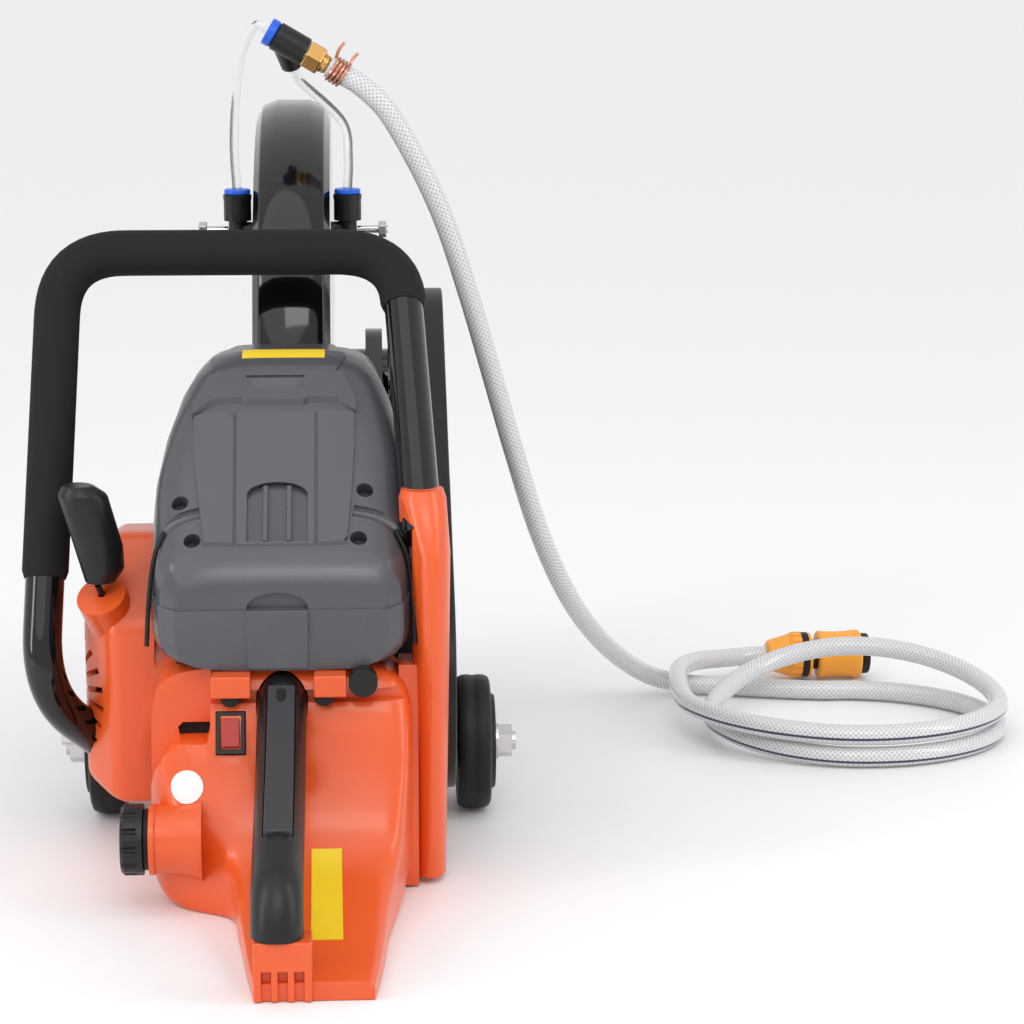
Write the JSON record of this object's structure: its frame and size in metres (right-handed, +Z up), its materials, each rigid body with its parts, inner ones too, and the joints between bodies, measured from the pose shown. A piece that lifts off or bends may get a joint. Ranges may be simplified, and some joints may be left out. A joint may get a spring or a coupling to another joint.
{
  "type": "rescue saw",
  "caption": "Petrol disc cutter for rescue work with tank, rear grip, wrap handle, tilting blade guard, transport wheels and a water kit with braided hose.",
  "frame": {"origin": "point of the flat tank underside below the rear handle, where the saw stands", "axes": "+Y forward to the disc, +Z up from the tank underside, +X to the operator's right"},
  "size_m": [0.6676, 0.7508, 0.5072],
  "materials": {
    "orange_plastic": "glossy moulded",
    "cover_plastic": "satin moulded",
    "black_plastic": "satin moulded",
    "grey_plastic": "matt moulded",
    "red_plastic": "glossy moulded",
    "foam": "matt foam",
    "rubber": "matt",
    "gloss_black_alloy": "gloss black paint",
    "cast_alloy": "as cast",
    "machined_alloy": "turned",
    "steel": "zinc plated",
    "brass": "turned",
    "copper_wire": "bright wire",
    "abrasive": "rough bonded grit",
    "filter_paper": "pleated",
    "water_line": "clear flexible tube",
    "braided_hose": "clear hose with woven braid",
    "connector_plastic": "satin moulded"
  },
  "bodies": {
    "saw": {"rear_housing": "orange_plastic", "right_side_cover": "orange_plastic", "rear_grip": "black_plastic", "switch_bezel": "black_plastic", "mount_left": "rubber", "mount_right": "rubber", "top_cover": "cover_plastic", "filter_base": "black_plastic", "air_filter": "filter_paper", "carburettor": "cast_alloy", "crankcase": "cast_alloy", "cylinder": "cast_alloy", "piston": "cast_alloy", "spark_plug": "black_plastic", "muffler": "cast_alloy", "starter_housing": "orange_plastic", "drive_belt": "rubber", "cutting_arm": "gloss_black_alloy", "clutch_cover": "black_plastic", "belt_cover": "cover_plastic", "front_handle": "gloss_black_alloy", "handle_sleeve": "foam", "handle_bolt": "steel", "wheel_axle": "steel", "axle_nut_left": "steel", "axle_nut_right": "steel", "supply_hose": "braided_hose", "hose_clamp": "copper_wire", "hose_coil": "braided_hose", "connector_body": "connector_plastic"},
    "disc": {"cutting_disc": "abrasive", "spindle": "steel", "inner_flange": "machined_alloy", "outer_flange": "machined_alloy", "arbor_nut": "steel", "driven_pulley": "machined_alloy"},
    "crank": {"crankshaft": "steel", "flywheel": "cast_alloy", "clutch_drum": "steel"},
    "guard": {"blade_guard": "gloss_black_alloy", "nozzle_left": "black_plastic", "nozzle_right": "black_plastic", "nozzle_screw_left": "steel", "nozzle_screw_right": "steel", "tee_fitting": "black_plastic", "brass_barb": "brass", "water_line_left": "water_line", "water_line_right": "water_line"},
    "trigger": {"throttle_trigger": "black_plastic"},
    "lockout": {"throttle_lockout": "grey_plastic"},
    "rocker": {"stop_rocker": "red_plastic"},
    "choke": {"choke_knob": "black_plastic"},
    "fuel_cap": {"fuel_cap": "black_plastic", "cap_seal": "rubber"},
    "starter_grip": {"starter_grip": "black_plastic", "starter_rope": "black_plastic"},
    "starter_pulley": {"starter_pulley": "black_plastic"},
    "wheel_left": {"wheel_left": "rubber"},
    "wheel_right": {"wheel_right": "rubber"},
    "collar": {"connector_collar": "connector_plastic"}
  },
  "joints": [
    {"name": "disc_spin", "type": "hinge", "parent": "saw", "child": "disc", "pos_m": [0.003, 0.455, 0.25], "axis": [1, 0, 0], "continuous": true},
    {"name": "crank_spin", "type": "hinge", "parent": "saw", "child": "crank", "pos_m": [0, 0.205, 0.1], "axis": [1, 0, 0], "continuous": true},
    {"name": "guard_tilt", "type": "hinge", "parent": "saw", "child": "guard", "pos_m": [0.003, 0.455, 0.25], "axis": [1, 0, 0], "range_deg": [-35, 0]},
    {"name": "throttle_pull", "type": "hinge", "parent": "saw", "child": "trigger", "pos_m": [-0.001, 0.058, 0.099], "axis": [-1, 0, 0], "range_deg": [0, 12], "stiffness_Nm_per_rad": 0.3},
    {"name": "lockout_press", "type": "hinge", "parent": "saw", "child": "lockout", "pos_m": [-0.001, 0.068, 0.127], "axis": [1, 0, 0], "range_deg": [0, 2.3], "stiffness_Nm_per_rad": 3},
    {"name": "stop_rock", "type": "hinge", "parent": "saw", "child": "rocker", "pos_m": [-0.031, 0.0718, 0.1032], "axis": [1, 0, 0], "range_deg": [0, 12]},
    {"name": "choke_pull", "type": "slide", "parent": "saw", "child": "choke", "axis": [0, -1, 0], "range_m": [0, 0.008]},
    {"name": "fuel_cap_turn", "type": "hinge", "parent": "saw", "child": "fuel_cap", "pos_m": [-0.088, 0.06, 0.043], "axis": [-1, 0, 0], "range_deg": [0, 90]},
    {"name": "starter_pull", "type": "slide", "parent": "saw", "child": "starter_grip", "axis": [-0.234, -0.554, 0.799], "range_m": [0, 0.05], "stiffness_N_per_m": 60},
    {"name": "starter_pulley_turn", "type": "hinge", "parent": "saw", "child": "starter_pulley", "pos_m": [-0.098, 0.205, 0.1], "axis": [-1, 0, 0], "range_deg": [0, 113]},
    {"name": "wheel_left_spin", "type": "hinge", "parent": "saw", "child": "wheel_left", "pos_m": [-0.118, 0.262, 0.0435], "axis": [1, 0, 0], "continuous": true},
    {"name": "wheel_right_spin", "type": "hinge", "parent": "saw", "child": "wheel_right", "pos_m": [0.118, 0.262, 0.0435], "axis": [1, 0, 0], "continuous": true},
    {"name": "collar_release", "type": "slide", "parent": "saw", "child": "collar", "axis": [-0.9992, -0.04, 0], "range_m": [0, 0.004], "stiffness_N_per_m": 500}
  ],
  "couplings": [
    {"joint": "crank_spin", "follows": "disc_spin", "ratio": 2.08},
    {"joint": "starter_pulley_turn", "follows": "starter_pull", "rad_per_m": 39.2}
  ]
}
